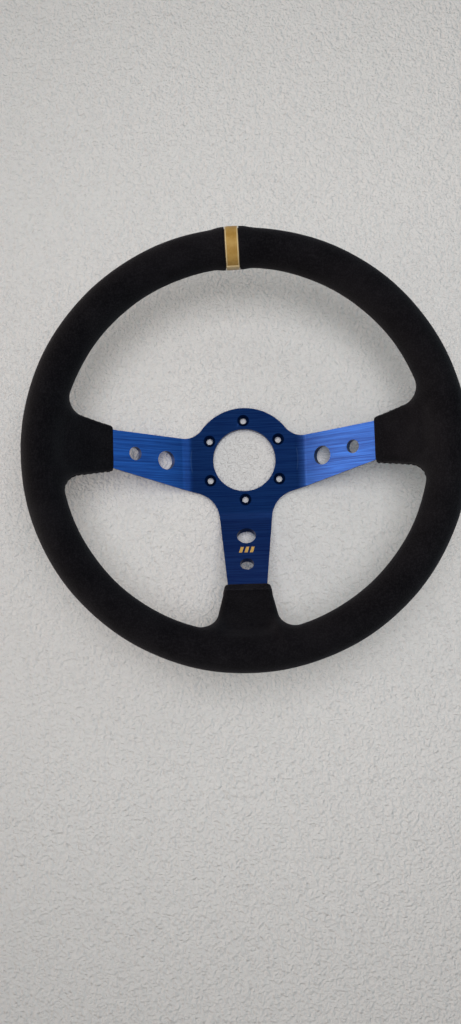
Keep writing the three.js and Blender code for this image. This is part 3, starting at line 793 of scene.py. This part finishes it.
def tab_distance(p, spoke):
    """Distance outside a spoke's end, which turns flat behind the core."""
    along, across, _ = to_spoke(p, spoke)
    middle = -PLATE / 2 - (along - BEND_AT) * math.tan(SLOPE)
    slope = (p[:, 1] - np.maximum(middle, TAB_Y)) * math.cos(SLOPE)
    half = np.interp(along, *TAB_WIDENS)
    off = np.abs(across - spoke["tab"]) - half
    return np.maximum(np.maximum(np.abs(slope) - PLATE / 2, off), along - TAB_END)


def foam_distance(p):
    """Distance outside the foam, which leaves a gap round everything it encloses."""
    distance = cover_distance(p) + SUEDE + LAYER_GAP
    rho = np.hypot(p[:, 0], p[:, 2])
    core = np.maximum(np.abs(rho - RIM_RADIUS) - CORE_HALF_WIDTH,
                      np.abs(p[:, 1] + DISH) - CORE_HALF)
    distance = np.maximum(distance, LAYER_GAP - core)
    for spoke in SPOKES.values():
        distance = np.maximum(distance, LAYER_GAP - tab_distance(p, spoke))
        along, across, _ = to_spoke(p, spoke)
        in_sleeve = (along > 95) & (np.abs(across) < 40)
        distance = np.maximum(distance, np.where(in_sleeve, FOAM_FROM - along, -9))
    for name in RIVETS:
        low, high = (np.array(corner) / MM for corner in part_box(name))
        middle = (low + high) / 2
        out = np.hypot(p[:, 0] - middle[0], p[:, 2] - middle[2]) - (high[0] - low[0]) / 2
        past = np.abs(p[:, 1] - middle[1]) - (high[1] - low[1]) / 2
        distance = np.maximum(distance, 2 * LAYER_GAP - np.maximum(out, past))
    return distance


def foam_pad():
    cell = FOAM_CELL
    points, faces = net(foam_distance, FOAM_LOW, FOAM_HIGH, cell)
    piece = new_piece("foam_pad", points, faces.tolist(), foam_finish(), "padding_foam")
    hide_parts("rim_padding")


foam_pad()


# ---- seams, lacing, hems and the centre mark ---------------------------------------------
for name, seam in SEAMS.items():
    line, run, side = surface_line(seam_points(seam), 0.6)
    new_piece(name + "_seam", *seam_lips(line, run, side), suede, "black_suede")
    stitches = new_piece(name + "_stitches", *lacing(line, run, side), thread, "black_thread")
    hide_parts(name + "_lacing")

for name, spoke in SPOKES.items():
    new_piece(name + "_sleeve_hem", *hem_band(spoke), hem_suede if name == "lower" else suede,
              "black_suede")
    stitches = new_piece(name + "_hem_stitches", *hem_stitches(spoke), thread, "black_thread")
    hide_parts(name + "_sleeve_hem_thread")

mark = new_piece("gold_centre_mark", *centre_band(), gold, "gold_leather")
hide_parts("centre_mark_band")
edge = mark.data.attributes.new("edge", "FLOAT", "POINT")
row, column = np.divmod(np.arange(len(mark.data.vertices)), MARK_COLUMNS)
tip = np.clip((row / row.max() - 0.925) / 0.02, 0, 1) * 0.85
edge.data.foreach_set("value", np.maximum(np.isin(column, MARK_EDGES), tip).astype(float))


# ---- the printed marks on the lower spoke -----------------------------------------------
BARS_AT = 80.9               # along the lower spoke
BAR_WIDTH, BAR_LEAN, BAR_HALF_HEIGHT, BAR_PITCH = 2.6, 1.6, 2.4, 4.6


def slanted_bars():
    """Three leaning bars printed on the front face, between the two holes."""
    parts = []
    for i in range(3):
        start = -6.6 + BAR_PITCH * i
        corners = np.array([[start, -BAR_HALF_HEIGHT], [start + BAR_WIDTH, -BAR_HALF_HEIGHT],
                            [start + BAR_WIDTH + BAR_LEAN, BAR_HALF_HEIGHT],
                            [start + BAR_LEAN, BAR_HALF_HEIGHT]])
        rings = []
        for behind, grow in ((-0.01, 1.0), (0.05, 1.0), (0.07, 0.94)):
            middle = corners.mean(0)
            shape = middle + (corners - middle) * grow
            rings.append(from_spoke(BARS_AT - shape[:, 1], shape[:, 0],
                                    np.full(4, -PLATE / 2 - behind), SPOKES["lower"]))
        points = np.concatenate(rings)
        faces = grid_faces(3, 4)
        faces += [[3, 2, 1, 0], [8, 9, 10, 11]]
        parts.append((points, faces))
    return gathered(parts)


new_piece("lower_spoke_marks", *slanted_bars(), print_finish(), "gold_leather", smooth=False)


# ---- metal and hidden pieces ------------------------------------------------------------
def refinish(node, finish):
    """Gives a node of the frame its finish."""
    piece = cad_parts[node]
    for slot in piece.material_slots:
        slot.material = finish
    return piece


# The plate's points are joined and its flat faces merged before its edges are broken.
plate = refinish("spoke_plate", anodised_finish())
weld = plate.modifiers.new("weld", "WELD")
weld.merge_threshold = 0.02 * MM
flat = plate.modifiers.new("flat_faces", "DECIMATE")
flat.decimate_type = "DISSOLVE"
flat.angle_limit = math.radians(0.1)
bevel = plate.modifiers.new("edges", "BEVEL")
bevel.width = 0.35 * MM
bevel.segments = 3
bevel.limit_method = "ANGLE"
bevel.angle_limit = math.radians(50)
bevel.harden_normals = False
slivers = plate.modifiers.new("slivers", "WELD")
slivers.merge_threshold = 0.01 * MM
plate.data.polygons.foreach_set("use_smooth", [True] * len(plate.data.polygons))
plate.modifiers.new("shading", "WEIGHTED_NORMAL").keep_sharp = False

refinish("rim_core", metal_finish("core_steel_finish", (0.16, 0.165, 0.175, 1),
                                  (0.30, 0.31, 0.33, 1), 0.45))
rivet = metal_finish("rivet_aluminium_finish", (0.42, 0.42, 0.43, 1),
                     (0.62, 0.62, 0.63, 1), 0.34)
for name in RIVETS:
    refinish(name, rivet)


# ---- wall, floor and light --------------------------------------------------------------
def stage_sheet(name, corners, material):
    mesh = bpy.data.meshes.new(name)
    mesh.from_pydata(corners, [], [(0, 1, 2, 3)])
    mesh.materials.append(material)
    sheet = bpy.data.objects.new(name, mesh)
    bpy.context.scene.collection.objects.link(sheet)
    return sheet


def plaster_finish():
    """Rough plaster in front, and clear from behind so that it hides no rear view."""
    f = Finish("wall_plaster_finish", {"Roughness": 0.85, "Specular IOR Level": 0.25,
                                       "Base Color": (0.574, 0.573, 0.571, 1)})
    coarse = f.noise(210, 1.0, rough=0.4)
    fine = f.noise(440, 1.5, rough=0.45)
    height = f.maths("ADD", f.maths("MULTIPLY", coarse, 0.7), fine)
    f.set(Normal=f.bump(height, 0.0026, 1.0))
    clear = f.add("BsdfTransparent", {}).outputs[0]
    behind = f.add("NewGeometry", {}).outputs["Backfacing"]
    seen = f.add("MixShader", {0: behind, 1: f.shader.outputs[0], 2: clear}).outputs[0]
    f.links.new(seen, f.nodes["Material Output"].inputs["Surface"])
    return f.material


def floor_finish():
    f = Finish("pale_floor_finish", {"Roughness": 0.7})
    cloud = f.noise(3, 3)
    return f.set(Base_Color=f.mixed(cloud, (0.70, 0.69, 0.68, 1), (0.76, 0.75, 0.74, 1)))


WALL_AT = 0.0015             # metres behind the hub's rear face
WALL_TOP = 2.2
FLOOR_AT = -0.9
STAGE_HALF = 3
wall = stage_sheet("plaster_wall", [
    (-STAGE_HALF, WALL_AT, FLOOR_AT), (STAGE_HALF, WALL_AT, FLOOR_AT),
    (STAGE_HALF, WALL_AT, WALL_TOP), (-STAGE_HALF, WALL_AT, WALL_TOP)], plaster_finish())
# The camera sees the wall, but it neither lights the wheel nor shades it.
for ray in ("visible_diffuse", "visible_glossy", "visible_transmission", "visible_shadow"):
    setattr(wall, ray, False)
stage_sheet("pale_floor", [
    (-STAGE_HALF, -STAGE_HALF, FLOOR_AT), (STAGE_HALF, -STAGE_HALF, FLOOR_AT),
    (STAGE_HALF, STAGE_HALF, FLOOR_AT), (-STAGE_HALF, STAGE_HALF, FLOOR_AT)], floor_finish())


def soft_light(name, place, size, power, colour):
    """A square area light that faces the wheel's hub."""
    data = bpy.data.lights.new(name, "AREA")
    data.shape = "RECTANGLE"
    data.size, data.size_y = size, size
    data.energy = power
    data.color = colour
    lamp = bpy.data.objects.new(name, data)
    lamp.location = place
    lamp.rotation_euler = (-Vector(place)).to_track_quat("-Z", "Y").to_euler()
    bpy.context.scene.collection.objects.link(lamp)
    return lamp


soft_light("upper_right", (1.1, -2.0, 1.5), 1.1, 5.5, (1.0, 0.985, 0.96))
front_light = soft_light("front", (0.03, -1.1, 0.05), 0.7, 3.7, (1.0, 0.985, 0.98))
front_light.data.spread = math.radians(105)
front_light.visible_glossy = False


# How bright each side of the room is, and its colour.
NEUTRAL, WARM = (1.0, 0.98, 0.96), (1.0, 0.86, 0.74)
COOL, ROSY = (0.28, 0.88, 1.0), (1.0, 0.55, 0.60)
FRONT_GLOW, LEFT_GLOW, RIGHT_GLOW = 0.30, 3.6, 0.60
REAR_GLOW, CEILING_GLOW, ROOM_GLOW = 0.40, 0.13, 0.11
BACKGROUND, BACKGROUND_GLOW = (1.0, 0.99, 0.975), 0.62


def surroundings():
    """A dim room: bright warm left side, cooler right side, dark straight ahead."""
    world = bpy.data.worlds.new("room")
    world.use_nodes = True
    bpy.context.scene.world = world
    nodes, links = world.node_tree.nodes, world.node_tree.links
    nodes.remove(nodes["Background"])
    direction = nodes.new("ShaderNodeTexCoord").outputs["Generated"]
    split = nodes.new("ShaderNodeSeparateXYZ")
    links.new(direction, split.inputs[0])

    def lobe(axis, low, high, strength):
        """Strength in the directions past high on an axis, and none before low."""
        node = nodes.new("ShaderNodeMapRange")
        node.interpolation_type = "SMOOTHSTEP"
        links.new(split.outputs[axis], node.inputs[0])
        for i, value in enumerate((low, high, 0.0, strength)):
            node.inputs[i + 1].default_value = value
        return node.outputs[0]

    def product(first, *others):
        for other in others:
            node = nodes.new("ShaderNodeMath")
            node.operation = "MULTIPLY"
            links.new(first, node.inputs[0])
            links.new(other, node.inputs[1])
            first = node.outputs[0]
        return first

    def glow(colour, strength):
        node = nodes.new("ShaderNodeBackground")
        node.inputs["Color"].default_value = colour + (1,)
        if isinstance(strength, float):
            node.inputs["Strength"].default_value = strength
        else:
            links.new(strength, node.inputs["Strength"])
        return node.outputs[0]

    front = product(lobe("Y", -0.22, -0.55, FRONT_GLOW), lobe("Y", -0.975, -0.86, 1.0),
                    lobe("Z", 0.80, 0.35, 1.0))
    light = glow(NEUTRAL, ROOM_GLOW)
    for part in (glow(NEUTRAL, front),
                 glow(WARM, lobe("X", -0.73, -0.96, LEFT_GLOW)),
                 glow(COOL, lobe("X", 0.60, 0.93, RIGHT_GLOW)),
                 glow(ROSY, lobe("Z", 0.60, 0.92, CEILING_GLOW)),
                 glow(NEUTRAL, lobe("Y", -0.05, 0.6, REAR_GLOW))):
        add = nodes.new("ShaderNodeAddShader")
        links.new(light, add.inputs[0])
        links.new(part, add.inputs[1])
        light = add.outputs[0]
    seen = nodes.new("ShaderNodeMixShader")
    links.new(nodes.new("ShaderNodeLightPath").outputs["Is Camera Ray"], seen.inputs[0])
    links.new(light, seen.inputs[1])
    links.new(glow(BACKGROUND, BACKGROUND_GLOW), seen.inputs[2])
    links.new(seen.outputs[0], nodes["World Output"].inputs["Surface"])


surroundings()


# ---- camera -----------------------------------------------------------------------------
def put_camera():
    data = bpy.data.cameras.new("viewpoint")
    data.lens = CAMERA_LENS
    data.clip_start = 0.02
    camera = bpy.data.objects.new("viewpoint", data)
    ahead = (CAMERA_TARGET - CAMERA_PLACE).normalized()
    level = ahead.cross(Vector((0, 0, 1))).normalized()
    above = level.cross(ahead)
    roll = math.radians(CAMERA_ROLL)
    right = level * math.cos(roll) + above * math.sin(roll)
    up = right.cross(ahead)
    turn = Matrix((right, up, -ahead)).transposed()
    camera.matrix_world = Matrix.Translation(CAMERA_PLACE) @ turn.to_4x4()
    bpy.context.scene.collection.objects.link(camera)
    bpy.context.scene.camera = camera


put_camera()
bpy.context.scene.view_settings.view_transform = "Standard"
